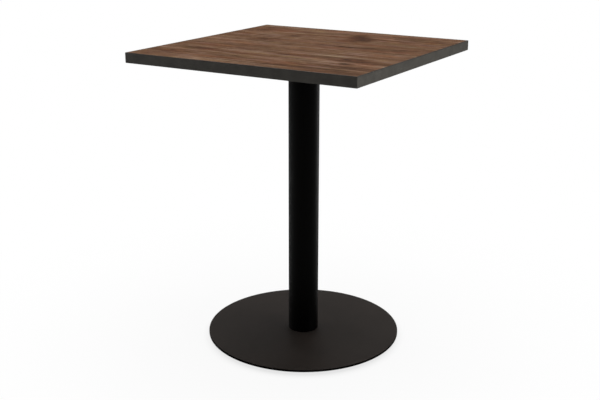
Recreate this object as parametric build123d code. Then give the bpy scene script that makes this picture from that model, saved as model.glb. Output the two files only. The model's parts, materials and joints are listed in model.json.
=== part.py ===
from build123d import *
import os

# Square pedestal table for cafes and bars: a laminated board with plastic edge
# bands, screwed to a steel plate on a round steel column, which stands on a flat
# steel disc with four screw-out levelling feet, shown screwed fully in.
#
# Millimetres, +Z up, origin on the floor at the centre of the column. +X runs
# along the wood grain and the front edge; the front is at -Y.

# ---------------------------------------------------------------- dimensions
TABLE_HEIGHT = 750.0      # floor to the top surface
TOP_SIDE = 600.0          # square top, edge bands included
BAND_T = 2.0
BAND_R = 0.8              # eased outer edges of the bands
CORE_T = 22.0             # chipboard core
LAM_T = 1.0               # laminate, each face
CORE_SIDE = TOP_SIDE - 2 * BAND_T

PLATE_SIDE = 300.0
PLATE_T = 4.0
PLATE_CORNER_R = 20.0
PLATE_CHAMFER = 0.5       # lower outer edge
PLATE_HOLE_D = 6.5
PLATE_HOLE_AT = 130.0     # half side of the square of screws
PLATE_VENT_D = 30.0       # lets coating liquids drain from the column

SCREW_D = 5.0             # wood screw, outside the thread
SCREW_CORE_D = 3.4
SCREW_PITCH = 2.2
SCREW_L = 20.0            # under the head
SCREW_POINT_L = 3.0
SCREW_HEAD_R = 5.0
SCREW_HEAD_H = 3.0
CROSS_L = 4.8             # cross recess: length and width of each slot, depth
CROSS_W = 1.0
CROSS_DEPTH = 1.9
PILOT_D = 5.1
PILOT_DEPTH = 16.5        # into the core

TUBE_D = 76.1
TUBE_WALL = 2.0
TUBE_FOOT_CHAMFER = 0.3   # outside, at the foot
TUBE_CHAMFER = 1.2        # inside, at the foot
WELD_LEG = 4.0            # fillet weld between column and plate
WELD_FACE = 0.36 * WELD_LEG  # middle of its hollow face, out from both legs

PLUG_T = 10.0             # tapped plug in the column's foot
PLUG_CLEAR = 0.05
PLUG_VENT_D = 16.0
PLUG_CHAMFER = 2.0

DISC_D = 492.0
DISC_T = 6.0
DISC_TOP_R = 1.0
DISC_UNDER_R = 0.6
DISC_GAP = 10.0           # floor to the disc's underside

M8_D = 8.0
M8_PITCH = 1.25
M8_CORE_D = 6.47          # bottom of the thread
M8_TAP_D = 8.1            # plain bore standing for a tapped hole

BOLT_L = 16.0             # M8 countersunk base screws
BOLT_PCD = 46.0
BOLT_HEAD_D = 16.6
BOLT_SINK = 0.2           # head face above the disc's underside
BOLT_HOLE_D = 9.0
BOLT_TIP_H = 0.5          # tapered tip: height, and step in radius
BOLT_TIP_STEP = 0.8
HEX_AF = 5.0
HEX_DEPTH = 2.8

FOOT_R = 200.0            # levelling feet, distance from the column axis
STUD_L = 6.4              # M8 weld stud
STUD_TIP_CHAMFER = 0.6
STUD_FLANGE_D = 10.0
STUD_FLANGE_T = 0.8
PAD_D = 28.0
PAD_T = 1.5
PAD_CHAMFER = 0.3
PAD_NECK_D = 5.0          # the pad snaps into the foot with a headed button
PAD_HEAD_D = 6.4
PAD_HEAD_Z0 = 2.0
PAD_HEAD_Z1 = 2.6
PAD_CLEAR = 0.06
FOOT_D = 32.0
FOOT_Z0 = PAD_T           # underside of the turning foot body
FOOT_Z1 = 9.0             # its top
FOOT_UNDER_CHAMFER = 1.2
FOOT_TOP_CHAMFER = 1.6
INSERT_AF = 12.0
INSERT_Z0 = 3.2
GRIP_COUNT = 20           # finger flutes round the foot body
GRIP_R = 1.6
GRIP_AT = FOOT_D / 2 + GRIP_R * 0.55  # flute axis, just outside the rim

OVER = 1.0                # cutters run this far past a face

# ---------------------------------------------------------------- levels
Z_TOP = TABLE_HEIGHT
Z_LAM = Z_TOP - LAM_T                 # underside of the wood laminate
Z_CORE = Z_LAM - CORE_T               # underside of the core
Z_UNDER = Z_CORE - LAM_T              # underside of the table top
Z_PLATE = Z_UNDER - PLATE_T           # underside of the mounting plate
Z_DISC = DISC_GAP                     # underside of the base disc
Z_DISC_TOP = Z_DISC + DISC_T

TUBE_RO = TUBE_D / 2
TUBE_RI = TUBE_RO - TUBE_WALL
PLUG_R = TUBE_RI - PLUG_CLEAR

# ---------------------------------------------------------------- (x, y) places
# Plate screws: corners and mid sides of a square, anticlockwise from front left.
SCREW_PLACES = [
    (PLATE_HOLE_AT * x, PLATE_HOLE_AT * y)
    for x, y in [(-1, -1), (0, -1), (1, -1), (1, 0), (1, 1), (0, 1), (-1, 1), (-1, 0)]
]
BOLT_PLACES = [(BOLT_PCD / 2 * x, BOLT_PCD / 2 * y) for x, y in [(1, 0), (0, 1), (-1, 0), (0, -1)]]

FOOT_AT = FOOT_R * 0.5 ** 0.5         # the feet lie on the diagonals
FOOT_PLACES = {
    "front_left": (-FOOT_AT, -FOOT_AT),
    "front_right": (FOOT_AT, -FOOT_AT),
    "back_right": (FOOT_AT, FOOT_AT),
    "back_left": (-FOOT_AT, FOOT_AT),
}


# ---------------------------------------------------------------- helpers
def box(x0, x1, y0, y1, z0, z1):
    return Pos((x0 + x1) / 2, (y0 + y1) / 2, (z0 + z1) / 2) * Box(x1 - x0, y1 - y0, z1 - z0)


def square_slab(side, z0, z1):
    return box(-side / 2, side / 2, -side / 2, side / 2, z0, z1)


def cylinder(d, z0, z1, x=0.0, y=0.0):
    return Pos(x, y, (z0 + z1) / 2) * Cylinder(d / 2, z1 - z0)


def hexagon(across_flats, z0, z1):
    return Pos(0, 0, z0) * extrude(RegularPolygon(across_flats / 2, 6, major_radius=False), z1 - z0)


def turned(points):
    """A solid of revolution about Z from (radius, z) points."""
    face = make_face(Polyline(*[(r, 0, z) for r, z in points], close=True))
    return revolve(face, Axis.Z)


def thread(d, core_d, pitch, z0, z1):
    """(radius, z) points of a shank from z0 towards z1, cut as whole ring grooves."""
    step = pitch if z1 > z0 else -pitch
    count = int(abs(z1 - z0) / pitch)
    points = []
    for k in range(count):
        z = z0 + k * step
        points += [
            (d / 2, z),
            (d / 2, z + 0.2 * step),
            (core_d / 2, z + 0.55 * step),
            (core_d / 2, z + 0.7 * step),
        ]
    return points + [(d / 2, z0 + count * step)]


def drill(shape, places, d, z0, z1):
    for x, y in places:
        shape -= cylinder(d, z0, z1, x, y)
    return shape


def copies(shape, places):
    """One compound with a copy of the shape at each place."""
    return Compound(children=[s for x, y in places for s in (Pos(x, y, 0) * shape).solids()])


def save(shape, name):
    export_step(shape, "parts/" + name + ".step")


# ---------------------------------------------------------------- table top
def core_board():
    core = square_slab(CORE_SIDE, Z_CORE, Z_LAM)
    return drill(core, SCREW_PLACES, PILOT_D, Z_CORE - OVER, Z_CORE + PILOT_DEPTH)


def backing_laminate():
    backing = square_slab(CORE_SIDE, Z_UNDER, Z_CORE)
    return drill(backing, SCREW_PLACES, PILOT_D, Z_UNDER - OVER, Z_CORE + OVER)


def edge_bands():
    """Four bands cut from one rounded block, so that their corners line up.

    Front and back run the full width and the side bands butt between them.
    """
    block = square_slab(TOP_SIDE, Z_UNDER, Z_TOP)
    block = fillet(block.edges(), BAND_R)
    z0, z1 = Z_UNDER - OVER, Z_TOP + OVER
    ring = block - square_slab(CORE_SIDE, z0, z1)
    outer = TOP_SIDE / 2 + 5
    inner = CORE_SIDE / 2
    spans = {
        "front": (-outer, outer, -outer, -inner),
        "back": (-outer, outer, inner, outer),
        "left": (-outer, -inner, -inner, inner),
        "right": (inner, outer, -inner, inner),
    }
    return {side: ring & box(*span, z0, z1) for side, span in spans.items()}


# ---------------------------------------------------------------- mounting plate
def mounting_plate():
    plate = square_slab(PLATE_SIDE, Z_PLATE, Z_UNDER)
    plate = fillet(plate.edges().filter_by(Axis.Z), PLATE_CORNER_R)
    plate = chamfer(plate.faces().sort_by(Axis.Z)[0].outer_wire().edges(), PLATE_CHAMFER)
    z0, z1 = Z_PLATE - OVER, Z_UNDER + OVER
    plate -= cylinder(PLATE_VENT_D, z0, z1)
    return drill(plate, SCREW_PLACES, PLATE_HOLE_D, z0, z1)


def plate_screw():
    """Pan-head wood screw, point up: domed head, cross recess, cone point."""
    z_head = Z_PLATE - SCREW_HEAD_H
    screw = turned([
        (0, z_head),
        (SCREW_HEAD_R * 0.52, z_head + 0.12),
        (SCREW_HEAD_R * 0.80, z_head + 0.75),
        (SCREW_HEAD_R * 0.96, z_head + 1.7),
        (SCREW_HEAD_R, Z_PLATE - 0.5),
        (SCREW_HEAD_R, Z_PLATE),
        (SCREW_D / 2, Z_PLATE),
        # The thread starts 1 mm below the plate's upper face.
        *thread(SCREW_D, SCREW_CORE_D, SCREW_PITCH,
                Z_UNDER - 1, Z_PLATE + SCREW_L - SCREW_POINT_L),
        (0, Z_PLATE + SCREW_L),
    ])
    for length, width in [(CROSS_L, CROSS_W), (CROSS_W, CROSS_L)]:
        screw -= box(-length / 2, length / 2, -width / 2, width / 2,
                     z_head - OVER, z_head + CROSS_DEPTH)
    return screw


def plate_weld():
    """Fillet weld round the head of the column, slightly hollow faced."""
    root = (TUBE_RO, 0, Z_PLATE)
    plate_toe = (TUBE_RO + WELD_LEG, 0, Z_PLATE)
    tube_toe = (TUBE_RO, 0, Z_PLATE - WELD_LEG)
    middle = (TUBE_RO + WELD_FACE, 0, Z_PLATE - WELD_FACE)
    section = make_face([
        Line(root, plate_toe),
        ThreePointArc(plate_toe, middle, tube_toe),
        Line(tube_toe, root),
    ])
    return revolve(section, Axis.Z)


# ---------------------------------------------------------------- column
def column_tube():
    return turned([
        (TUBE_RO - TUBE_FOOT_CHAMFER, Z_DISC_TOP),
        (TUBE_RO, Z_DISC_TOP + TUBE_FOOT_CHAMFER),
        (TUBE_RO, Z_PLATE),
        (TUBE_RI, Z_PLATE),
        (TUBE_RI, Z_DISC_TOP + TUBE_CHAMFER),
        (TUBE_RI + TUBE_CHAMFER, Z_DISC_TOP),
    ])


def foot_plug():
    z_top = Z_DISC_TOP + PLUG_T
    plug = turned([
        (PLUG_VENT_D / 2, Z_DISC_TOP),
        (PLUG_R - PLUG_CHAMFER, Z_DISC_TOP),
        (PLUG_R, Z_DISC_TOP + PLUG_CHAMFER),
        (PLUG_R, z_top),
        (PLUG_VENT_D / 2, z_top),
    ])
    return drill(plug, BOLT_PLACES, M8_TAP_D, Z_DISC_TOP - OVER, z_top + OVER)


def foot_plug_weld():
    """Weld metal in the V between plug and column, ground flush underneath."""
    return turned([
        (PLUG_R - PLUG_CHAMFER, Z_DISC_TOP),
        (TUBE_RI + TUBE_CHAMFER, Z_DISC_TOP),
        (TUBE_RI, Z_DISC_TOP + TUBE_CHAMFER),
        (TUBE_RI, Z_DISC_TOP + PLUG_CHAMFER),
        (PLUG_R, Z_DISC_TOP + PLUG_CHAMFER),
    ])


# ---------------------------------------------------------------- base disc
def base_disc():
    disc = cylinder(DISC_D, Z_DISC, Z_DISC_TOP)
    disc = fillet(disc.faces().sort_by(Axis.Z)[-1].edges(), DISC_TOP_R)
    disc = fillet(disc.faces().sort_by(Axis.Z)[0].edges(), DISC_UNDER_R)
    mouth_r = BOLT_HEAD_D / 2 + BOLT_SINK      # 90 degree countersink at the underside
    hole_r = BOLT_HOLE_D / 2
    cutter = turned([
        (0, Z_DISC - OVER),
        (mouth_r + OVER, Z_DISC - OVER),
        (hole_r, Z_DISC + mouth_r - hole_r),
        (hole_r, Z_DISC_TOP + OVER),
        (0, Z_DISC_TOP + OVER),
    ])
    for x, y in BOLT_PLACES:
        disc -= Pos(x, y, 0) * cutter
    return disc


def base_screw():
    """Countersunk socket screw, driven up through the disc into the plug."""
    z_face = Z_DISC + BOLT_SINK
    z_tip = z_face + BOLT_L
    bolt = turned([
        (0, z_face),
        (BOLT_HEAD_D / 2, z_face),
        *thread(M8_D, M8_CORE_D, M8_PITCH, z_face + (BOLT_HEAD_D - M8_D) / 2, z_tip - BOLT_TIP_H),
        (M8_D / 2 - BOLT_TIP_STEP, z_tip),
        (0, z_tip),
    ])
    return bolt - hexagon(HEX_AF, z_face - OVER, z_face + HEX_DEPTH)


# ---------------------------------------------------------------- levelling feet
def leveller_stud():
    z_flange = Z_DISC - STUD_FLANGE_T
    z_tip = Z_DISC - STUD_L
    return turned([
        (0, Z_DISC),
        (STUD_FLANGE_D / 2, Z_DISC),
        (STUD_FLANGE_D / 2, z_flange),
        *thread(M8_D, M8_CORE_D, M8_PITCH, z_flange, z_tip + STUD_TIP_CHAMFER),
        (M8_D / 2 - STUD_TIP_CHAMFER, z_tip),
        (0, z_tip),
    ])


def leveller_pad():
    return turned([
        (0, 0),
        (PAD_D / 2 - PAD_CHAMFER, 0),
        (PAD_D / 2, PAD_CHAMFER),
        (PAD_D / 2, PAD_T),
        (PAD_NECK_D / 2, PAD_T),
        (PAD_NECK_D / 2, PAD_HEAD_Z0),
        (PAD_HEAD_D / 2, PAD_HEAD_Z0),
        (PAD_HEAD_D / 2 - PAD_CHAMFER, PAD_HEAD_Z1),
        (0, PAD_HEAD_Z1),
    ])


def leveller_body():
    """Fluted foot body with a hexagonal pocket above and a button socket below."""
    body = turned([
        (0, FOOT_Z0),
        (FOOT_D / 2 - FOOT_UNDER_CHAMFER, FOOT_Z0),
        (FOOT_D / 2, FOOT_Z0 + FOOT_UNDER_CHAMFER),
        (FOOT_D / 2, FOOT_Z1 - FOOT_TOP_CHAMFER),
        (FOOT_D / 2 - FOOT_TOP_CHAMFER, FOOT_Z1),
        (0, FOOT_Z1),
    ])
    flute = cylinder(2 * GRIP_R, FOOT_Z0 - OVER, FOOT_Z1 + OVER, GRIP_AT)
    for k in range(GRIP_COUNT):
        body -= Rot(0, 0, 360.0 * k / GRIP_COUNT) * flute
    body -= hexagon(INSERT_AF, INSERT_Z0, FOOT_Z1 + OVER)
    body -= cylinder(PAD_NECK_D + 2 * PAD_CLEAR, FOOT_Z0 - OVER, PAD_HEAD_Z0)
    body -= cylinder(PAD_HEAD_D + 2 * PAD_CLEAR, PAD_HEAD_Z0 - PAD_CLEAR, PAD_HEAD_Z1 + PAD_CLEAR)
    return body


def leveller_insert():
    insert = hexagon(INSERT_AF, INSERT_Z0, FOOT_Z1)
    return insert - cylinder(M8_TAP_D, INSERT_Z0 - OVER, FOOT_Z1 + OVER)


# ---------------------------------------------------------------- build
os.makedirs("parts", exist_ok=True)

save(core_board(), "top_core_board")
save(backing_laminate(), "backing_laminate")
save(square_slab(CORE_SIDE, Z_LAM, Z_TOP), "wood_laminate")
for side, band in edge_bands().items():
    save(band, "edge_band_" + side)

save(mounting_plate(), "mounting_plate")
save(copies(plate_screw(), SCREW_PLACES), "plate_screws")
save(plate_weld(), "plate_weld_bead")

save(column_tube(), "column_tube")
save(foot_plug(), "column_foot_plug")
save(foot_plug_weld(), "foot_plug_weld")
save(base_disc(), "base_disc")
save(copies(base_screw(), BOLT_PLACES), "base_screws")

save(copies(leveller_stud(), FOOT_PLACES.values()), "leveller_studs")
for build in (leveller_pad, leveller_body, leveller_insert):
    piece = build()
    for corner, (x, y) in FOOT_PLACES.items():
        save(Pos(x, y, 0) * piece, build.__name__ + "_" + corner)
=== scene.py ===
import json
import math

import bmesh
import bpy
from mathutils import Matrix, Vector

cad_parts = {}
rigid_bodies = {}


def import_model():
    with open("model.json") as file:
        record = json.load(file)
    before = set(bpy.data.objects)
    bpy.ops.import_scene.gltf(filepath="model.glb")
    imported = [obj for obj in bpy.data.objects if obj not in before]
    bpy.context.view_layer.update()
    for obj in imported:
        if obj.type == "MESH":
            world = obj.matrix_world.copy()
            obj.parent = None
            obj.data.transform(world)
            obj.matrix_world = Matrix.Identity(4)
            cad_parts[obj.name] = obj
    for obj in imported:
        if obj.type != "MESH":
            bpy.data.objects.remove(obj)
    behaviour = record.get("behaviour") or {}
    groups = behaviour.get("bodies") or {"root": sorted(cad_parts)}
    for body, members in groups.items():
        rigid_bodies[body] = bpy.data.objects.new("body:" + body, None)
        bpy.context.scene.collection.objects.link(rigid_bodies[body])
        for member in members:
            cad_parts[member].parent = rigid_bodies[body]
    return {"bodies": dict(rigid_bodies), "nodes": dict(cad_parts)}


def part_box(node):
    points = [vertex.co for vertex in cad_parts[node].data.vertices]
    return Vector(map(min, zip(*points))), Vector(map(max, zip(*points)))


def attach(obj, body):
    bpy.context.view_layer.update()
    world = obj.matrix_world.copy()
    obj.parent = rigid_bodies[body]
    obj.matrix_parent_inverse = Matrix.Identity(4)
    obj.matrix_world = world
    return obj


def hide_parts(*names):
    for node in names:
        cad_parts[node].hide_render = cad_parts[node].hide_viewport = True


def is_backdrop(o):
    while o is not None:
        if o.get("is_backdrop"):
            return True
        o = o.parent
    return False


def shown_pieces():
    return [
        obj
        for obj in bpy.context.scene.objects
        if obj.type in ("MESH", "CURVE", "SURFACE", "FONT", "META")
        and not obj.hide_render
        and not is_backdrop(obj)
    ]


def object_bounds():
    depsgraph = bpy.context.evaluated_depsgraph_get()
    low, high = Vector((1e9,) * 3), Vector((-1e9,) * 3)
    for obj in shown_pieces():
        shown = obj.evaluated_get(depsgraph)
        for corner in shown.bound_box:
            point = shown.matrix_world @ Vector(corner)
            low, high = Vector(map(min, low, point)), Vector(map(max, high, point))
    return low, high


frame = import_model()
cad_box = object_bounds()
nodes = frame["nodes"]


def plain(b):
    """A bounds value as plain lists of numbers."""
    if isinstance(b, dict):
        return {k: plain(v) for k, v in b.items()}
    if isinstance(b, (list, tuple, Vector)):
        return [plain(v) for v in b]
    return round(float(b), 6)


# ---------------------------------------------------------------- node helpers
class Tree:
    """A material's node tree, written as expressions. Lengths are millimetres."""

    def __init__(self, name):
        self.mat = bpy.data.materials.new(name)
        self.mat.use_nodes = True
        self.nt = self.mat.node_tree
        self.nt.nodes.clear()
        self.out = self.node("ShaderNodeOutputMaterial")
        self.bsdf = self.node("ShaderNodeBsdfPrincipled")
        self.nt.links.new(self.bsdf.outputs[0], self.out.inputs["Surface"])
        coord = self.node("ShaderNodeTexCoord")
        self.p = self.vmath("MULTIPLY", coord.outputs["Object"], (1000, 1000, 1000))
        sep = self.node("ShaderNodeSeparateXYZ")
        self.link(self.p, sep.inputs[0])
        self.x, self.y, self.z = sep.outputs

    def node(self, kind, **props):
        n = self.nt.nodes.new(kind)
        for k, v in props.items():
            setattr(n, k, v)
        return n

    def link(self, value, socket):
        if isinstance(value, bpy.types.NodeSocket):
            self.nt.links.new(value, socket)
        elif value is not None:
            if isinstance(value, (tuple, list)) and len(value) == 3 and socket.type == "RGBA":
                value = (*value, 1.0)
            socket.default_value = value

    def math(self, op, a, b=None, c=None, clamp=False):
        n = self.node("ShaderNodeMath", operation=op, use_clamp=clamp)
        for i, v in enumerate((a, b, c)):
            if v is not None:
                self.link(v, n.inputs[i])
        return n.outputs[0]

    def add(self, a, b):
        return self.math("ADD", a, b)

    def sub(self, a, b):
        return self.math("SUBTRACT", a, b)

    def mul(self, a, b, clamp=False):
        return self.math("MULTIPLY", a, b, clamp=clamp)

    def vmath(self, op, a, b=None):
        n = self.node("ShaderNodeVectorMath", operation=op)
        self.link(a, n.inputs[0])
        if b is not None:
            self.link(b, n.inputs[1])
        return n.outputs["Value"] if op in ("LENGTH", "DOT_PRODUCT", "DISTANCE") else n.outputs["Vector"]

    def xyz(self, x, y, z):
        n = self.node("ShaderNodeCombineXYZ")
        for s, v in zip(n.inputs, (x, y, z)):
            self.link(v, s)
        return n.outputs[0]

    def noise(self, vector, scale=1.0, detail=2.0, rough=0.5, warp=0.0, color=False, kind="FBM"):
        n = self.node("ShaderNodeTexNoise", noise_type=kind)
        self.link(vector, n.inputs["Vector"])
        self.link(scale, n.inputs["Scale"])
        self.link(detail, n.inputs["Detail"])
        self.link(rough, n.inputs["Roughness"])
        self.link(warp, n.inputs["Distortion"])
        return n.outputs["Color" if color else "Fac"]

    def cells(self, vector, scale=1.0, feature="F1", rand=1.0, out="Distance"):
        n = self.node("ShaderNodeTexVoronoi", feature=feature)
        self.link(vector, n.inputs["Vector"])
        self.link(scale, n.inputs["Scale"])
        self.link(rand, n.inputs["Randomness"])
        return n.outputs[out]

    def span(self, v, a, b, c=0.0, d=1.0, kind="SMOOTHSTEP"):
        """v from a..b to c..d, eased, and held past the ends."""
        n = self.node("ShaderNodeMapRange", interpolation_type=kind, clamp=kind != "SMOOTHSTEP")
        for s, w in zip(list(n.inputs)[:5], (v, a, b, c, d)):
            self.link(w, s)
        return n.outputs[0]

    def ramp(self, fac, stops, kind="LINEAR"):
        n = self.node("ShaderNodeValToRGB")
        n.color_ramp.interpolation = kind
        el = n.color_ramp.elements
        while len(el) < len(stops):
            el.new(0.5)
        for e, (pos, col) in zip(el, stops):
            e.position = pos
            e.color = (*col, 1.0)
        self.link(fac, n.inputs[0])
        return n.outputs[0]

    def mix(self, fac, a, b, blend="MIX"):
        n = self.node("ShaderNodeMix", data_type="RGBA", blend_type=blend, clamp_factor=True)
        self.link(fac, n.inputs[0])
        self.link(a, n.inputs[6])
        self.link(b, n.inputs[7])
        return n.outputs[2]

    def bump(self, height, strength=0.5, distance=0.1, normal=None):
        """distance is millimetres per unit of height."""
        n = self.node("ShaderNodeBump")
        self.link(strength, n.inputs["Strength"])
        self.link(distance / 1000.0, n.inputs["Distance"])
        self.link(height, n.inputs["Height"])
        if normal is not None:
            self.link(normal, n.inputs["Normal"])
        return n.outputs[0]

    def set(self, **values):
        for k, v in values.items():
            self.link(v, self.bsdf.inputs[k.replace("_", " ")])
        return self.mat


def srgb(r, g, b):
    """8-bit display values as linear light."""
    def lin(v):
        v /= 255.0
        return v / 12.92 if v <= 0.04045 else ((v + 0.055) / 1.055) ** 2.4
    return (lin(r), lin(g), lin(b))


def scaled(c, k):
    return tuple(v * k for v in c)


def dress(node, *mats):
    """Assign materials to a CAD node's own slots, leaving its mesh alone."""
    o = nodes[node]
    while len(o.material_slots) < 1:
        o.data.materials.append(None)
    for i, s in enumerate(o.material_slots):
        s.link = "OBJECT"
        s.material = mats[min(i, len(mats) - 1)]


FOOT_AT = 141.4213         # levelling feet, distance from the column axis along X and along Y
CORNERS = {"front_left": (-1, -1), "front_right": (1, -1), "back_right": (1, 1), "back_left": (-1, 1)}


# ---------------------------------------------------------------- wood decor
# Places are millimetres on the table top, X along the grain, Y away from the front.
KNOTS = [  # x, y, radius along the grain, radius across it, depth of colour
    (72, 166, 20, 16, 0.75), (112, 216, 12, 7, 0.5), (-110, 141, 14, 8, 0.9),
    (186, -127, 11, 7.5, 0.95), (204, -179, 12, 9, 0.95), (26, -129, 12, 5, 0.6),
    (-150, 58, 15, 7, 0.65), (-236, -206, 8, 5, 0.6), (-247, 206, 13, 7, 0.5), (238, 62, 7, 4, 0.55),
]
STREAKS = [  # x0, x1, y, half width, depth
    (5, 130, 46, 3.2, 0.5), (60, 280, 38, 3.4, 0.6), (-10, 60, -127, 2.2, 0.6), (70, 225, -121, 2.6, 0.75),
    (-50, 120, -168, 2.2, 0.7), (60, 215, -176, 2.2, 0.65), (110, 240, -141, 1.6, 0.5),
    (-215, -150, -148, 3.2, 0.55), (60, 260, -206, 1.8, 0.55), (-120, 40, -112, 1.8, 0.45),
    (90, 290, -250, 2.4, 0.5), (-30, 70, -243, 2.0, 0.45), (-270, -200, 190, 2.6, 0.5),
    (-250, -60, 28, 2.0, 0.3), (90, 240, 120, 2.2, 0.4), (-60, 150, -86, 1.6, 0.45),
    (-280, -150, 118, 2.2, 0.4), (-30, 110, 92, 1.8, 0.45), (40, 110, 196, 2.0, 0.4),
]
STAINS = [  # x, y, half length, half width, depth: soft darker patches
    (68, 172, 52, 58, 0.8), (38, 218, 34, 34, 0.75), (200, -134, 50, 36, 0.35),
    (-190, -152, 60, 22, 0.4), (-152, 58, 48, 30, 0.45), (-112, 142, 46, 18, 0.5),
    (160, 44, 150, 18, 0.6), (-250, 195, 60, 50, 0.4), (-95, -240, 90, 22, 0.5),
    (215, -108, 30, 20, 0.35), (150, -256, 150, 16, 0.3), (30, 48, 50, 24, 0.3), (-80, 160, 30, 26, 0.2),
    (215, 236, 100, 46, 0.35), (70, -38, 90, 44, 0.3), (50, 132, 40, 34, 0.2), (244, -168, 50, 60, 0.3), (-235, -240, 90, 50, 0.55),
    (240, -238, 60, 46, 0.4),
]
PALE = [  # the same, lighter and greyer
    (0, -100, 190, 11, 0.5), (20, -194, 210, 10, 0.45), (-205, 80, 80, 14, 0.7), (150, -56, 110, 14, 0.6),
    (-88, 106, 18, 10, 1.0), (-20, 245, 160, 14, 0.3), (130, -92, 50, 11, 0.6), (120, -152, 60, 7, 0.5),
    (60, 104, 60, 12, 0.3), (-215, -75, 60, 14, 0.3), (-90, 14, 70, 12, 0.6), (122, 206, 30, 14, 0.6),
    (-145, 240, 110, 34, 0.6), (-225, -122, 60, 18, 0.4), (-40, -140, 90, 20, 0.25), (266, -130, 44, 16, 0.35),
]
REDS = [  # the same, redder
    (115, 218, 36, 16, 1.0), (42, 128, 30, 30, 0.5), (-168, -158, 34, 12, 1.0), (-85, -240, 80, 14, 0.9),
    (-185, 215, 50, 24, 0.5), (240, 28, 44, 14, 0.6), (-115, -52, 70, 18, 0.45), (250, -165, 40, 26, 0.5),
    (-240, -212, 50, 18, 0.8), (120, -228, 60, 9, 0.4), (240, 210, 26, 30, 0.5),
]


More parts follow.
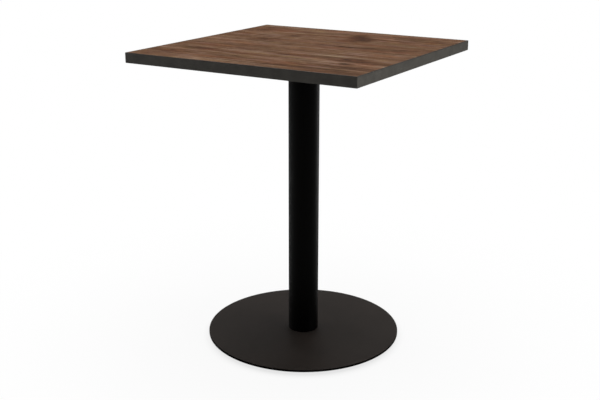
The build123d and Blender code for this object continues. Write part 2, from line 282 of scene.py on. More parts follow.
def make_wood():
    t = Tree("wood_decor")
    x, y = t.x, t.y
    slow = t.noise(t.xyz(t.mul(x, 1 / 420), t.mul(y, 1 / 150), 3.1), detail=1.5)
    wav = t.noise(t.xyz(t.mul(x, 1 / 110), t.mul(y, 1 / 34), 7.7), detail=2)
    # h follows the grain closely, g wanders more between the lines
    h = t.add(y, t.mul(t.sub(wav, 0.5), 7.0))
    # a wobbly copy of the place, so that round marks are never round
    wob = t.noise(t.xyz(t.mul(x, 1 / 26), t.mul(y, 1 / 15), 1.3), detail=3, rough=0.6, color=True)
    wob = t.vmath("MULTIPLY", t.vmath("SUBTRACT", wob, (0.5, 0.5, 0.5)), (26, 14, 0))
    place = t.vmath("ADD", t.xyz(x, y, 0.0), wob)

    def spot(cx, cy, lx, ly):
        n = t.node("ShaderNodeVectorMath", operation="MULTIPLY_ADD")
        t.link(place, n.inputs[0])
        n.inputs[1].default_value = (1 / lx, 1 / ly, 0)
        n.inputs[2].default_value = (-cx / lx, -cy / ly, 0)
        return t.vmath("LENGTH", n.outputs["Vector"])

    knot = halo = near = None
    for cx, cy, rx, ry, depth in KNOTS:
        dx = t.mul(t.sub(x, cx), 1.0 / (1.5 * rx / ry))
        dy = t.sub(y, cy)
        rr = t.add(t.mul(dx, dx), t.mul(dy, dy))
        push = t.math("DIVIDE", t.mul(dy, -(1.3 * ry) ** 2), t.add(rr, (0.8 * ry) ** 2))
        h = t.add(h, push)
        d = spot(cx, cy, rx, ry)
        k = t.span(d, 0.80, 1.10, depth, 0.0)
        a = t.span(d, 0.7, 2.6, depth, 0.0)
        knot = k if knot is None else t.math("MAXIMUM", knot, k)
        halo = a if halo is None else t.math("MAXIMUM", halo, a)
        near = d if near is None else t.math("MINIMUM", near, d)
    g = t.add(h, t.mul(t.sub(slow, 0.5), 60))

    # growth rings: how many lie between here and the front edge
    swirl = t.noise(t.xyz(t.mul(x, 1 / 620), t.mul(g, 1 / 105), 31.0), detail=1.0)
    small = t.noise(t.xyz(t.mul(x, 1 / 95), t.mul(g, 1 / 12), 37.0), detail=2)
    rings = t.add(t.mul(g, 1 / 7.5), t.add(t.mul(swirl, 13.0), t.mul(small, 0.9)))
    phase = t.math("FRACT", rings)
    late = t.mul(t.span(phase, 0.35, 0.88), t.span(phase, 0.90, 1.0, 1.0, 0.0))
    early = t.span(phase, 0.0, 0.30, 1.0, 0.0)
    figure = t.span(t.noise(t.xyz(t.mul(x, 1 / 360), t.mul(g, 1 / 60), 41.0), detail=2), 0.35, 0.68)

    broad = t.noise(t.xyz(t.mul(x, 1 / 480), t.mul(g, 1 / 42), 0.0), detail=2, rough=0.55)
    bands = t.noise(t.xyz(t.mul(x, 1 / 330), t.mul(h, 1 / 8.5), 5.0), detail=3, rough=0.6)
    fine = t.noise(t.xyz(t.mul(x, 1 / 150), t.mul(h, 1 / 2.3), 9.0), detail=4, rough=0.65)
    fibre = t.noise(t.xyz(t.mul(x, 1 / 30), t.mul(h, 1 / 0.6), 13.0), detail=3, rough=0.6)
    pore_n = t.noise(t.xyz(t.mul(x, 1 / 7.5), t.mul(h, 1 / 0.5), 17.0), detail=1.5, rough=0.5)
    pore = t.mul(t.span(pore_n, 0.535, 0.635), t.add(0.3, t.mul(early, 0.7)))
    hair = t.span(t.noise(t.xyz(t.mul(x, 1 / 55), t.mul(h, 1 / 0.9), 19.0), detail=2, rough=0.55), 0.60, 0.70)

    tone = t.add(0.52, t.mul(t.sub(broad, 0.5), 0.85))
    tone = t.add(tone, t.mul(t.sub(bands, 0.5), 1.3))
    tone = t.add(tone, t.mul(t.sub(fine, 0.5), 1.0))
    blotch = t.noise(t.xyz(t.mul(x, 1 / 34), t.mul(h, 1 / 13), 51.0), detail=3, rough=0.6)
    tone = t.add(tone, t.mul(t.sub(blotch, 0.5), 0.65))
    tone = t.add(tone, t.mul(t.sub(fibre, 0.5), 0.42))
    tone = t.sub(tone, t.mul(t.mul(late, figure), 0.20))
    tone = t.sub(tone, t.mul(hair, 0.13))
    for cx, cy, lx, ly, depth in STAINS:
        tone = t.sub(tone, t.span(spot(cx, cy, lx, ly), 0.1, 1.25, 0.36 * depth, 0.0))
    for cx, cy, lx, ly, depth in PALE:
        tone = t.add(tone, t.span(spot(cx, cy, lx, ly), 0.1, 1.25, 0.24 * depth, 0.0))
    torn = t.span(t.noise(t.xyz(t.mul(x, 1 / 38), t.mul(h, 1 / 1.6), 43.0), detail=3, rough=0.6), 0.36, 0.60)
    crack = None
    for x0, x1, sy, w, depth in STREAKS:
        across = t.math("ABSOLUTE", t.sub(h, sy))
        m = t.mul(t.span(across, 0.0, 2.0 * w, 1.0, 0.0), t.span(x, x0, x0 + 45))
        m = t.mul(m, t.span(x, x1 - 45, x1, 0.62 * depth, 0.0))
        tone = t.sub(tone, t.mul(m, t.add(0.25, t.mul(torn, 0.75))))
        c = t.mul(t.span(across, 0.2, 0.9, 1.0, 0.0), t.span(m, 0.05, 0.3, 0.0, 1.0))
        crack = c if crack is None else t.math("MAXIMUM", crack, c)

    col = t.ramp(tone, [
        (0.00, srgb(44, 23, 9)), (0.18, srgb(68, 42, 23)), (0.36, srgb(94, 65, 42)),
        (0.52, srgb(113, 85, 64)), (0.68, srgb(129, 105, 86)), (0.84, srgb(144, 123, 107)),
        (1.00, srgb(159, 142, 128)),
    ])
    red = None
    for cx, cy, lx, ly, depth in REDS:
        m = t.span(spot(cx, cy, lx, ly), 0.1, 1.2, depth, 0.0)
        red = m if red is None else t.math("MAXIMUM", red, m)
    col = t.mix(red, col, (1.20, 0.86, 0.72), "MULTIPLY")
    hue = t.noise(t.xyz(t.mul(x, 1 / 150), t.mul(g, 1 / 40), 21.0), detail=2)
    col = t.mix(t.span(hue, 0.48, 0.72, 0, 0.7), col, (1.14, 0.91, 0.82), "MULTIPLY")
    col = t.mix(t.span(hue, 0.30, 0.47, 0.8, 0.0), col, (0.93, 1.02, 0.97), "MULTIPLY")
    cool = t.noise(t.xyz(t.mul(x, 1 / 70), t.mul(h, 1 / 18), 61.0), detail=3, rough=0.6)
    col = t.mix(t.span(cool, 0.50, 0.70), col, (0.97, 0.99, 1.26), "MULTIPLY")
    col = t.mix(t.span(cool, 0.30, 0.50, 1.0, 0.0), col, (1.03, 1.02, 0.76), "MULTIPLY")
    col = t.mix(t.mul(halo, 0.5), col, srgb(80, 50, 29))
    col = t.mix(t.mul(pore, 0.6), col, srgb(46, 29, 20))
    # knots: rings, a dark rim and a black heart that has split
    ripple = t.math("SINE", t.add(t.mul(near, 30.0), t.mul(fibre, 3.0)))
    inner = t.mix(t.span(ripple, -1.0, 1.0), srgb(54, 32, 17), srgb(84, 54, 32))
    inner = t.mix(t.span(near, 0.15, 0.55, 0.85, 0.0), inner, srgb(26, 15, 8))
    rim = t.mul(t.span(near, 0.68, 0.90), t.span(near, 0.94, 1.15, 1.0, 0.0))
    inner = t.mix(t.mul(rim, 0.8), inner, srgb(34, 20, 11))
    split = t.noise(t.xyz(t.mul(x, 1 / 9.0), t.mul(y, 1 / 2.0), 23.0), detail=2)
    split = t.mul(t.span(t.math("ABSOLUTE", t.sub(split, 0.5)), 0.0, 0.022, 1.0, 0.0), t.span(near, 0.5, 0.8, 1.0, 0.0))
    inner = t.mix(t.mul(split, 0.85), inner, srgb(12, 8, 6))
    col = t.mix(knot, col, inner)
    torn_line = t.mul(crack, t.span(t.noise(t.xyz(t.mul(x, 1 / 16), t.mul(h, 1 / 3.0), 47.0), detail=2), 0.42, 0.52))
    col = t.mix(t.mul(torn_line, 0.85), col, srgb(20, 13, 9))

    col = t.mix(1.0, col, (0.925, 0.845, 0.775), "MULTIPLY")
    # the sheet's dark core shows where it is trimmed against the edge band
    rim = t.math("MAXIMUM", t.math("ABSOLUTE", x), t.math("ABSOLUTE", y))
    trim = t.noise(t.p, scale=1 / 6, detail=2)
    rim = t.span(t.add(rim, t.mul(t.sub(trim, 0.5), 0.5)), 296.9, 297.6)
    col = t.mix(t.mul(rim, 0.85), col, srgb(40, 26, 18))

    height = t.sub(t.mul(fibre, 0.4), t.add(t.mul(pore, 1.0), t.mul(torn_line, 2.2)))
    height = t.sub(height, t.mul(t.mul(split, knot), 2.0))
    nrm = t.bump(height, strength=0.45, distance=0.05)
    rough = t.add(0.50, t.add(t.mul(pore, 0.2), t.mul(t.sub(fine, 0.5), 0.1)))
    return t.set(Base_Color=col, Roughness=rough, Normal=nrm, Specular_IOR_Level=0.08)


# ---------------------------------------------------------------- other materials
def make_powder(name, base, spec=0.35, rough=0.5, grain=0.5, rim=None):
    t = Tree(name)
    lump = t.noise(t.p, scale=1 / 0.62, detail=2, rough=0.6)
    peel = t.noise(t.p, scale=1 / 4.5, detail=1)
    cloud = t.noise(t.p, scale=1 / 60, detail=3)
    col = t.mix(t.span(lump, 0.35, 0.7), scaled(base, 0.8), scaled(base, 1.25))
    col = t.mix(t.span(cloud, 0.35, 0.7, 0, 0.35), col, scaled(base, 1.4))
    if rim is not None:
        # painted shade: the cut edge is darkened nearly to black and its specular turned down, standing in for the
        # shade it lies in
        painted_shade_rim = t.span(t.vmath("LENGTH", t.xyz(t.x, t.y, 0.0)), rim - 0.8, rim - 0.2)
        col = t.mix(t.mul(painted_shade_rim, 0.9), col, (0, 0, 0))
        spec = t.span(painted_shade_rim, 0.0, 1.0, spec, 0.12 * spec)
    n = t.bump(peel, 0.25, 0.25)
    n = t.bump(lump, grain, 0.12, n)
    return t.set(Base_Color=col, Roughness=t.add(rough - 0.06, t.mul(cloud, 0.12)), Normal=n,
                 Specular_IOR_Level=spec)


def make_abs():
    t = Tree("edge_band")
    pebble = t.noise(t.p, scale=1 / 0.45, detail=2)
    mott = t.noise(t.p, scale=1 / 28, detail=3)
    # faint lines left by the extrusion die, and the odd rub mark
    drawn = t.noise(t.xyz(t.mul(t.x, 1 / 140), t.mul(t.y, 1 / 140), t.mul(t.z, 1 / 0.7)), detail=3, rough=0.6)
    rub_at = t.noise(t.xyz(t.mul(t.x, 1 / 26), t.mul(t.y, 1 / 26), t.mul(t.z, 1 / 5)), detail=4, rough=0.6)
    rub = t.mul(t.span(rub_at, 0.60, 0.72), 0.25)
    base = srgb(90, 87, 81)
    col = t.mix(t.span(mott, 0.3, 0.7), scaled(base, 0.88), scaled(base, 1.12))
    col = t.mix(t.span(drawn, 0.3, 0.7, 0.22, 0.0), col, scaled(base, 0.55))
    col = t.mix(rub, col, scaled(base, 1.8))
    col = t.mix(t.span(t.z, 748.7, 749.5, 0.0, 0.8), col, srgb(30, 27, 25))
    n = t.bump(drawn, 0.3, 0.06)
    n = t.bump(pebble, 0.4, 0.05, n)
    return t.set(Base_Color=col, Roughness=t.sub(0.50, t.mul(rub, 0.3)), Normal=n, Specular_IOR_Level=0.4)


def scratches(t, length=14.0, width=0.12, keep=0.66):
    """Thin straight marks that lie in three directions."""
    marks = None
    for k, turn in enumerate((0.35, 1.9, 2.7)):
        c, w = math.cos(turn), math.sin(turn)
        along = t.add(t.mul(t.x, c), t.mul(t.y, w))
        across = t.add(t.mul(t.x, -w), t.mul(t.y, c))
        n = t.noise(t.xyz(t.mul(along, 1 / length), t.mul(across, 1 / (8 * width)), t.add(t.mul(t.z, 1 / 3.0), 7.0 * k)), detail=2)
        m = t.span(n, keep, keep + 0.05)
        marks = m if marks is None else t.math("MAXIMUM", marks, m)
    return marks


def make_backing():
    """Black melamine with a pearl emboss."""
    t = Tree("backing")
    pearl = t.cells(t.p, scale=1 / 1.1, feature="SMOOTH_F1")
    cloud = t.noise(t.p, scale=1 / 70, detail=4, rough=0.6)
    marks = scratches(t, 60, 0.25, 0.68)
    base = srgb(36, 35, 34)
    col = t.mix(t.span(cloud, 0.3, 0.7), scaled(base, 0.8), scaled(base, 1.15))
    col = t.mix(t.mul(marks, 0.35), col, scaled(base, 2.2))
    n = t.bump(pearl, 0.5, -0.12)
    return t.set(Base_Color=col, Roughness=t.add(0.44, t.mul(cloud, 0.18)), Normal=n, Specular_IOR_Level=0.35)


def make_chip():
    """Pressed chips: coarse in the middle of the board, fine next to its faces."""
    t = Tree("chipboard")
    mid = t.math("ABSOLUTE", t.sub(t.z, 738.0))
    flat = t.xyz(t.x, t.y, t.mul(t.z, 2.6))
    coarse = t.cells(flat, scale=1 / 5.5, out="Color")
    fine = t.cells(flat, scale=1 / 1.6, out="Color")
    gap_c = t.cells(flat, scale=1 / 5.5, feature="DISTANCE_TO_EDGE")
    gap_f = t.cells(flat, scale=1 / 1.6, feature="DISTANCE_TO_EDGE")
    outer = t.span(mid, 5.5, 8.0)
    shade = t.mix(outer, coarse, fine)
    gap = t.add(t.mul(gap_c, t.sub(1.0, outer)), t.mul(gap_f, outer))
    fibre = t.noise(t.xyz(t.mul(t.x, 1 / 4), t.mul(t.y, 1 / 4), t.mul(t.z, 3.0)), detail=4, rough=0.7)
    col = t.ramp(t.math("MULTIPLY_ADD", fibre, 0.35, t.mul(shade, 0.65)), [
        (0.15, srgb(118, 88, 56)), (0.45, srgb(165, 132, 92)), (0.75, srgb(196, 166, 122)), (1.0, srgb(214, 189, 148))])
    col = t.mix(t.span(gap, 0.0, 0.06, 0.75, 0.0), col, srgb(84, 60, 38))
    n = t.bump(t.add(t.span(gap, 0.0, 0.12), t.mul(fibre, 0.6)), 0.7, 0.3)
    return t.set(Base_Color=col, Roughness=0.88, Normal=n, Specular_IOR_Level=0.2)


def make_zinc():
    """Bright zinc plate with a faint blue and straw passivation."""
    t = Tree("zinc_screw")
    patch = t.noise(t.p, scale=1 / 3.2, detail=3)
    grain = t.noise(t.p, scale=1 / 0.18, detail=2)
    marks = scratches(t, 2.6, 0.05, 0.62)
    col = t.ramp(patch, [(0.3, (0.50, 0.53, 0.58)), (0.5, (0.62, 0.62, 0.61)), (0.7, (0.66, 0.60, 0.48))])
    col = t.mix(t.mul(marks, 0.5), col, (0.30, 0.30, 0.31))
    rough = t.add(0.24, t.add(t.mul(patch, 0.16), t.mul(marks, 0.15)))
    n = t.bump(t.sub(grain, marks), 0.35, 0.02)
    return t.set(Base_Color=col, Roughness=rough, Metallic=1.0, Normal=n)


def make_steel():
    """Bare turned steel, heat tinted next to the weld."""
    t = Tree("bare_steel")
    r = t.vmath("LENGTH", t.xyz(t.x, t.y, 0.0))
    tool = t.math("SINE", t.mul(r, 2 * math.pi / 0.28))
    patch = t.noise(t.p, scale=1 / 8, detail=4, rough=0.6)
    col = t.mix(t.span(patch, 0.3, 0.7), (0.33, 0.32, 0.31), (0.46, 0.45, 0.44))
    heat = t.mul(t.span(r, 28.0, 34.0), t.span(patch, 0.25, 0.6))
    col = t.mix(t.mul(heat, 0.7), col, (0.17, 0.12, 0.14))
    n = t.bump(tool, 0.4, 0.01)
    n = t.bump(patch, 0.3, 0.08, n)
    return t.set(Base_Color=col, Roughness=t.add(0.34, t.mul(patch, 0.2)), Metallic=1.0, Normal=n)


def foot_place(t):
    """Distances from the axis of whichever levelling foot is nearest."""
    u = t.sub(t.math("ABSOLUTE", t.x), FOOT_AT)
    v = t.sub(t.math("ABSOLUTE", t.y), FOOT_AT)
    return u, v, t.vmath("LENGTH", t.xyz(u, v, 0.0))


def make_nylon():
    """Moulded black nylon: an eroded skin, burnished where fingers turn it."""
    t = Tree("foot_nylon")
    u, v, r = foot_place(t)
    skin = t.noise(t.p, scale=1 / 0.22, detail=3, rough=0.6)
    cloud = t.noise(t.p, scale=1 / 6, detail=3)
    worn = t.mul(t.span(r, 15.2, 15.9), t.span(cloud, 0.35, 0.6))
    base = srgb(33, 33, 32)
    col = t.mix(t.span(cloud, 0.3, 0.7), scaled(base, 0.8), scaled(base, 1.15))
    col = t.mix(t.mul(worn, 0.5), col, scaled(base, 2.2))
    rough = t.sub(t.add(0.52, t.mul(skin, 0.1)), t.mul(worn, 0.2))
    return t.set(Base_Color=col, Roughness=rough, Normal=t.bump(skin, 0.5, 0.05))


def make_brass():
    """Brass hexagon bar: drawn flats and a faced end."""
    t = Tree("foot_nut")
    u, v, r = foot_place(t)
    drawn = t.noise(t.xyz(t.mul(t.x, 3.0), t.mul(t.y, 3.0), t.mul(t.z, 1 / 8)), detail=3)
    faced = t.math("SINE", t.mul(r, 2 * math.pi / 0.22))
    stain = t.noise(t.p, scale=1 / 2.6, detail=3)
    col = t.mix(t.span(stain, 0.35, 0.7), (0.80, 0.58, 0.25), (0.52, 0.34, 0.14))
    n = t.bump(drawn, 0.3, 0.03)
    n = t.bump(faced, 0.25, 0.008, n)
    return t.set(Base_Color=col, Roughness=t.add(0.22, t.mul(stain, 0.2)), Metallic=1.0, Normal=n)


def make_rubber():
    """Dark grey non-slip rubber with a little dust in it."""
    t = Tree("foot_pad")
    skin = t.noise(t.p, scale=1 / 0.3, detail=3, rough=0.65)
    cloud = t.noise(t.p, scale=1 / 5, detail=4, rough=0.6)
    speck = t.span(t.cells(t.p, scale=1 / 0.9), 0.05, 0.16, 1.0, 0.0)
    base = srgb(54, 53, 51)
    col = t.mix(t.span(cloud, 0.3, 0.7), scaled(base, 0.75), scaled(base, 1.2))
    col = t.mix(t.mul(speck, 0.35), col, srgb(120, 116, 108))
    return t.set(Base_Color=col, Roughness=t.add(0.78, t.mul(skin, 0.12)), Normal=t.bump(skin, 0.5, 0.08),
                 Specular_IOR_Level=0.3)


wood = make_wood()
powder_disc = make_powder("powder_coat_disc", srgb(47, 41, 37), spec=0.25, rough=0.5, rim=246.0)
# the column's copy of the same black powder coat is painted far darker than the disc's: painted shade for the shade
# under the top
powder_coat_painted_shade = make_powder("powder_coat_column_painted_shade", srgb(6, 5, 4.5), spec=0.10, rough=0.42)
edge = make_abs()
backing = make_backing()
chip = make_chip()
zinc = make_zinc()
steel = make_steel()
nylon = make_nylon()
brass = make_brass()
rubber = make_rubber()

dress("wood_laminate", wood)
dress("top_core_board", chip)
dress("backing_laminate", backing)
for side in ("front", "back", "left", "right"):
    dress("edge_band_" + side, edge)
# these take the darker copy of the powder coat, which has painted shade in its colour
for n in ("mounting_plate", "plate_weld_bead", "column_tube"):
    dress(n, powder_coat_painted_shade)
dress("base_disc", powder_disc)
for n in ("plate_screws", "base_screws", "leveller_studs"):
    dress(n, zinc)
for n in ("column_foot_plug", "foot_plug_weld"):
    dress(n, steel)
for c in CORNERS:
    dress("leveller_body_" + c, nylon)
    dress("leveller_insert_" + c, brass)
    dress("leveller_pad_" + c, rubber)


# ---------------------------------------------------------------- modelled pieces
def mesh_object(name, verts, faces, mat, body, slot, *stands_for):
    """A smooth closed mesh from millimetre vertices, riding on a body in place of CAD nodes."""
    me = bpy.data.meshes.new(name)
    me.from_pydata([tuple(c / 1000.0 for c in v) for v in verts], [], faces)
    bm = bmesh.new()
    bm.from_mesh(me)
    bmesh.ops.remove_doubles(bm, verts=bm.verts, dist=1e-7)
    bmesh.ops.recalc_face_normals(bm, faces=bm.faces)
    for f in bm.faces:
        f.smooth = True
    for e in bm.edges:
        e.smooth = len(e.link_faces) == 2 and e.calc_face_angle(0.0) < math.radians(38)
    bm.to_mesh(me)
    bm.free()
    me.materials.append(mat)
    o = bpy.data.objects.new(name, me)
    bpy.context.scene.collection.objects.link(o)
    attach(o, body)
    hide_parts(*stands_for)
    return o


def ring_faces(rows, cols, loop=False):
    """Quads of a grid of rows round an axis by cols along a profile, which is either a loop or open between two points on the axis."""
    out = []
    for i in range(rows):
        j = (i + 1) % rows
        for k in range(cols if loop else cols - 1):
            m = (k + 1) % cols
            out.append((i * cols + k, j * cols + k, j * cols + m, i * cols + m))
    return out


def weld_bead():
    """The fillet weld at the column's head, laid in overlapping ripples with a stop and start."""
    lo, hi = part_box("plate_weld_bead")
    top = hi.z * 1000.0
    leg = (hi.z - lo.z) * 1000.0
    r0 = hi.x * 1000.0 - leg
    rows, steps, ripples = 1040, 14, 104
    verts = []
    for i in range(rows):
        a = 2 * math.pi * i / rows
        # the bead wanders a little, and swells where it was stopped and started again
        size = 1.0 + 0.05 * math.sin(3 * a + 0.6) + 0.03 * math.sin(11 * a) + 0.02 * math.sin(29 * a + 2)
        far = min(abs(a - 2.2), 2 * math.pi - abs(a - 2.2))
        crown = math.exp(-(far / 0.05) ** 2)
        crater = math.exp(-((a - 2.29) / 0.028) ** 2)
        size = min(size, 1.04) * 0.93
        row = [(r0 + 0.01, top - 0.01)]
        for k in range(steps + 1):
            u = k / steps
            # from the toe on the plate to the toe on the column, hollow between
            r = (1 - u) ** 1.55 * leg * size
            h = u ** 1.55 * leg * size
            phase = ripples * a / (2 * math.pi) + 1.3 * (u - 0.5) ** 2
            saw = phase - math.floor(phase)
            lift = 0.30 * (saw ** 2.2) * math.sin(math.pi * u) ** 0.6
            lift += (0.45 * crown - 0.35 * crater) * math.sin(math.pi * u)
            r += 0.7071 * lift
            h += 0.7071 * lift
            row.append((r0 + 0.01 + max(r, 0.0), top - 0.01 - max(h, 0.0)))
        for r, z in row:
            verts.append((r * math.cos(a), r * math.sin(a), z))
    faces = ring_faces(rows, steps + 2, loop=True)
    return mesh_object("weld_bead_ripples", verts, faces, powder_coat_painted_shade, "root", "powder_coat", "plate_weld_bead")


def sole(corner):
    """A swivel pad: a snap button above, three rings and cross slots moulded in the sole."""
    node = "leveller_pad_" + corner
    sx, sy = CORNERS[corner]
    cx, cy = sx * FOOT_AT, sy * FOOT_AT
    n = 120
    # (radius, z, is it part of the sole's tread)
    profile = [
        (0.0, 0.40, 0), (1.9, 0.40, 0), (2.1, 0.30, 0), (2.15, 0.05, 0), (2.3, 0.0, 1), (4.3, 0.0, 1), (4.5, 0.06, 1),
        (4.6, 0.36, 0), (5.5, 0.36, 0), (5.6, 0.06, 1), (5.8, 0.0, 1), (8.2, 0.0, 1), (8.4, 0.06, 1),
        (8.5, 0.36, 0), (9.4, 0.36, 0), (9.5, 0.06, 1), (9.7, 0.0, 1), (13.0, 0.0, 1), (13.55, 0.07, 1),
        (13.85, 0.25, 0), (13.98, 0.5, 0), (14.0, 0.9, 0), (13.96, 1.3, 0), (13.8, 1.46, 0), (13.6, 1.5, 0),
        (2.7, 1.5, 0), (2.55, 1.56, 0), (2.5, 1.7, 0), (2.5, 2.0, 0), (3.1, 2.0, 0), (3.2, 2.08, 0), (3.18, 2.2, 0),
        (2.9, 2.6, 0), (0.0, 2.6, 0),
    ]
    verts = []
    for i in range(n):
        a = 2 * math.pi * i / n
        slot_here = (i % 10) in (0, 1)
        for r, z, tread in profile:
            if tread and slot_here and r > 5:
                z = 0.30
            verts.append((cx + r * math.cos(a), cy + r * math.sin(a), z))
    faces = ring_faces(n, len(profile))
    return mesh_object("leveller_sole_" + corner, verts, faces, rubber, "leveller_pad_" + corner, "foot_pad", node)


def studs():
    """The four weld studs with a true helical thread, a flange and the flash of the weld round it."""
    lo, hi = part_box("leveller_studs")
    top, tip = hi.z * 1000.0, lo.z * 1000.0
    core, major, pitch, flange = 3.26, 4.0, 1.25, 0.8
    n, per_turn = 72, 16
    verts, faces = [], []
    for sx, sy in CORNERS.values():
        cx, cy = sx * FOOT_AT, sy * FOOT_AT
        levels = int((top - flange - tip) / pitch * per_turn) + 1
        rows = [[] for _ in range(n)]
        for i in range(n):
            a = 2 * math.pi * i / n
            row = [(0.0, top - 0.01), (5.0, top - 0.01)]
            bulge = 0.10 * math.sin(5 * a + sx) + 0.07 * math.sin(13 * a + sy)
            row += [(5.0, top - 0.12), (4.97 + 0.02 * bulge, top - flange + 0.18), (4.8, top - flange)]
            row += [(4.25, top - flange)]
            for k in range(levels):
                z = top - flange - k * pitch / per_turn
                if z < tip + 0.02:
                    break
                phase = (k / per_turn + a / (2 * math.pi)) % 1.0
                # crest, flank, root, flank of a 60 degree thread
                if phase < 0.125:
                    r = major
                elif phase < 0.5:
                    r = major - (phase - 0.125) / 0.375 * (major - core)
                elif phase < 0.625:
                    r = core
                else:
                    r = core + (phase - 0.625) / 0.375 * (major - core)
                fade = min(1.0, max(0.0, (top - flange - z) / 0.5))
                r = core + 0.45 + (r - core - 0.45) * fade if fade < 1 else r
                r = min(r, core + 0.1 + max(0.0, z - tip) * 1.0)
                row.append((r - 0.01, z))
            row += [(core - 0.25, tip + 0.01), (0.0, tip + 0.01)]
            rows[i] = row
        cols = len(rows[0])
        base = len(verts)
        for i, row in enumerate(rows):
            a = 2 * math.pi * i / n
            for r, z in row:
                verts.append((cx + r * math.cos(a), cy + r * math.sin(a), z))
        faces += [tuple(base + v for v in f) for f in ring_faces(n, cols)]
    return mesh_object("stud_threads", verts, faces, zinc, "root", "zinc_screw", "leveller_studs")


weld_bead()
studs()
for c in CORNERS:
    sole(c)


# ---------------------------------------------------------------- stage
def shader_nodes(owner):
    owner.use_nodes = True
    nt = owner.node_tree
    nt.nodes.clear()
    return nt


def floor():
    """A pale floor that fades into the white backdrop, seen from above only, with a painted contact shadow next to the
    object.
    """
    me = bpy.data.meshes.new("floor")
    s = 30.0
    me.from_pydata([(-s, -s, 0), (s, -s, 0), (s, s, 0), (-s, s, 0)], [], [(0, 1, 2, 3)])
    o = bpy.data.objects.new("floor", me)
    bpy.context.scene.collection.objects.link(o)
    mat = bpy.data.materials.new("floor")
    nt = shader_nodes(mat)
    n = nt.nodes.new
    out = n("ShaderNodeOutputMaterial")
    bounce = n("ShaderNodeBsdfDiffuse")
    bounce.inputs["Color"].default_value = (*FLOOR_BOUNCE, 1)
    pale = n("ShaderNodeBsdfDiffuse")
    pale.inputs["Color"].default_value = (0.8, 0.8, 0.8, 1)
    glow = n("ShaderNodeEmission")
    glow.inputs["Strength"].default_value = 1.0
    geo = n("ShaderNodeNewGeometry")
    dist = n("ShaderNodeVectorMath")
    dist.operation = "LENGTH"
    nt.links.new(geo.outputs["Position"], dist.inputs[0])
    fade = n("ShaderNodeMapRange")
    fade.interpolation_type = "SMOOTHSTEP"
    for i, v in enumerate((0.25, 1.1, FLOOR_NEAR, 1.0)):
        fade.inputs[1 + i].default_value = v
    nt.links.new(dist.outputs["Value"], fade.inputs[0])
    seen = n("ShaderNodeMixShader")
    nt.links.new(fade.outputs[0], seen.inputs[0])
    nt.links.new(pale.outputs[0], seen.inputs[1])
    nt.links.new(glow.outputs[0], seen.inputs[2])
    # painted contact shadow: ambient occlusion within 22 mm dims the floor's glow under and beside the object
    close = n("ShaderNodeAmbientOcclusion")
    close.samples = 8
    close.inputs["Distance"].default_value = 0.022
    painted_shadow_strength = n("ShaderNodeMapRange")
    painted_shadow_strength.inputs[3].default_value = 0.78
    nt.links.new(close.outputs["AO"], painted_shadow_strength.inputs[0])
    nt.links.new(painted_shadow_strength.outputs[0], glow.inputs["Strength"])
    path = n("ShaderNodeLightPath")
    cam = n("ShaderNodeMixShader")
    nt.links.new(path.outputs["Is Camera Ray"], cam.inputs[0])
    nt.links.new(bounce.outputs[0], cam.inputs[1])
    nt.links.new(seen.outputs[0], cam.inputs[2])
    clear = n("ShaderNodeBsdfTransparent")
    under = n("ShaderNodeMixShader")
    through = n("ShaderNodeMath")
    through.operation = "MAXIMUM"
    nt.links.new(geo.outputs["Backfacing"], through.inputs[0])
    nt.links.new(path.outputs["Is Shadow Ray"], through.inputs[1])
    nt.links.new(through.outputs[0], under.inputs[0])
    nt.links.new(cam.outputs[0], under.inputs[1])
    nt.links.new(clear.outputs[0], under.inputs[2])
    nt.links.new(under.outputs[0], out.inputs["Surface"])
    me.materials.append(mat)
    # it stays under the lowest levelling pad, however far the feet are screwed out
    drop = o.driver_add("location", 2).driver
    drop.type = "MIN"
    for corner in CORNERS:
        v = drop.variables.new()
        v.name = corner
        v.type = "TRANSFORMS"
        v.targets[0].id = frame["bodies"]["leveller_pad_" + corner]
        v.targets[0].transform_type = "LOC_Z"
        v.targets[0].transform_space = "WORLD_SPACE"
    o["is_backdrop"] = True


def area(name, loc, target, size, power, color=(1, 1, 1), size_y=None):
    l = bpy.data.lights.new(name, "AREA")
    l.energy = power
    l.color = color
    l.shape = "RECTANGLE"
    l.size = size
    l.size_y = size_y or size
    o = bpy.data.objects.new(name, l)
    o.location = loc
    d = Vector(target) - Vector(loc)
    o.rotation_euler = d.to_track_quat("-Z", "Y").to_euler()
    o.visible_camera = False
    bpy.context.scene.collection.objects.link(o)
    return o


def world():
    """White behind the object; as a light, a dim room, darker on the camera's side."""
    w = bpy.data.worlds.new("world")
    bpy.context.scene.world = w
    nt = shader_nodes(w)
    n = nt.nodes.new
    out = n("ShaderNodeOutputWorld")
    path = n("ShaderNodeLightPath")
    mix = n("ShaderNodeMixShader")
    room = n("ShaderNodeBackground")
    seen = n("ShaderNodeBackground")
    coord = n("ShaderNodeTexCoord")
    dot = n("ShaderNodeVectorMath")
    dot.operation = "DOT_PRODUCT"
    dot.inputs[1].default_value = (-0.5, 0.85, 0.15)
    grade = n("ShaderNodeMapRange")
    grade.interpolation_type = "SMOOTHSTEP"
    for i, v in enumerate((-0.7, 0.8, ROOM_FRONT, ROOM_BACK)):
        grade.inputs[1 + i].default_value = v
    nt.links.new(coord.outputs["Generated"], dot.inputs[0])
    nt.links.new(dot.outputs["Value"], grade.inputs[0])
    nt.links.new(grade.outputs[0], room.inputs[1])
    room.inputs[0].default_value = (1, 1, 1, 1)
    seen.inputs[0].default_value = (1, 1, 1, 1)
    seen.inputs[1].default_value = 1.0
    nt.links.new(path.outputs["Is Camera Ray"], mix.inputs[0])
    nt.links.new(room.outputs[0], mix.inputs[1])
    nt.links.new(seen.outputs[0], mix.inputs[2])
    nt.links.new(mix.outputs[0], out.inputs[0])


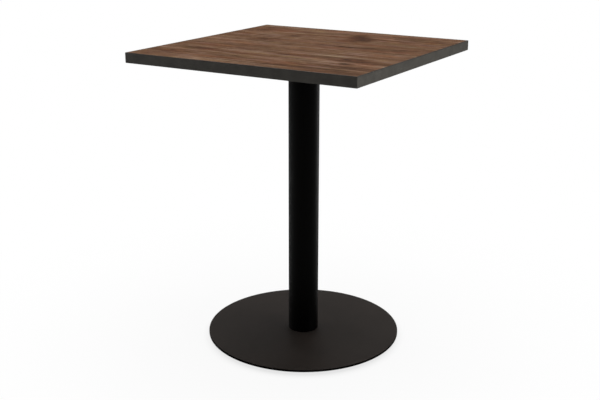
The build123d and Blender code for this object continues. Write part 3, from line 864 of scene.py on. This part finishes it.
def camera():
    c = bpy.data.cameras.new("camera")
    c.sensor_width = 36.0
    c.lens = 56.79
    o = bpy.data.objects.new("camera", c)
    bpy.context.scene.collection.objects.link(o)
    yaw, pitch, roll = -0.538, -0.307, 0.0021
    fwd = Vector((math.sin(yaw) * math.cos(pitch), math.cos(yaw) * math.cos(pitch), math.sin(pitch)))
    right = Vector((math.cos(yaw), -math.sin(yaw), 0.0))
    up = right.cross(fwd)
    r = right * math.cos(roll) + up * math.sin(roll)
    u = up * math.cos(roll) - right * math.sin(roll)
    m = Matrix(((r.x, u.x, -fwd.x, 1.15706), (r.y, u.y, -fwd.y, -1.95716), (r.z, u.z, -fwd.z, 1.08397), (0, 0, 0, 1)))
    o.matrix_world = m
    bpy.context.scene.camera = o


FLOOR_BOUNCE = (0.30, 0.30, 0.295)
FLOOR_NEAR = 0.92
ROOM_FRONT, ROOM_BACK = 0.02, 0.14
floor()
world()
camera()
area("key", (0.0, 0.6, 4.2), (0, 0, 0.4), 4.2, 185)
right = area("right", (3.4, 0.4, 0.9), (0, 0, 0.55), 1.4, 42)
area("left", (-3.2, -0.3, 1.5), (0, 0, 0.2), 1.4, 21)
area("front", (-1.8, -2.8, 1.4), (0, 0, 0.6), 1.4, 7.5)


def only_on(light, *starts):
    """Let a light fall on some pieces only."""
    c = bpy.data.collections.new("lit by " + light.name)
    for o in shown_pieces():
        if o.name.startswith(starts):
            c.objects.link(o)
    light.light_linking.receiver_collection = c


only_on(area("under", (-0.3, 0.3, -1.6), (0, 0, 0), 2.0, 34),
        "base_", "leveller_", "stud_", "backing_", "mounting_", "plate_", "weld_")
# the column is drawn by two lights of its own, one for each edge
spared = bpy.data.collections.new("not lit by right")
spared.objects.link(nodes["column_tube"])
spared.collection_objects[0].light_linking.link_state = "EXCLUDE"
right.light_linking.receiver_collection = spared
for strip in (area("edge left", (-3.2, -0.3, -0.8), (0, 0, 0.3), 1.2, 3.2),
              area("edge right", (1.2, 3.3, -0.15), (0, 0, 0.4), 1.4, 9)):
    only_on(strip, "column_tube")
    strip.data.cycles.use_multiple_importance_sampling = False  # they shine up through the floor
bpy.context.scene.view_settings.view_transform = "Standard"
bpy.context.scene.view_settings.look = "None"

{"cad": plain(cad_box), "visual": plain(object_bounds())}
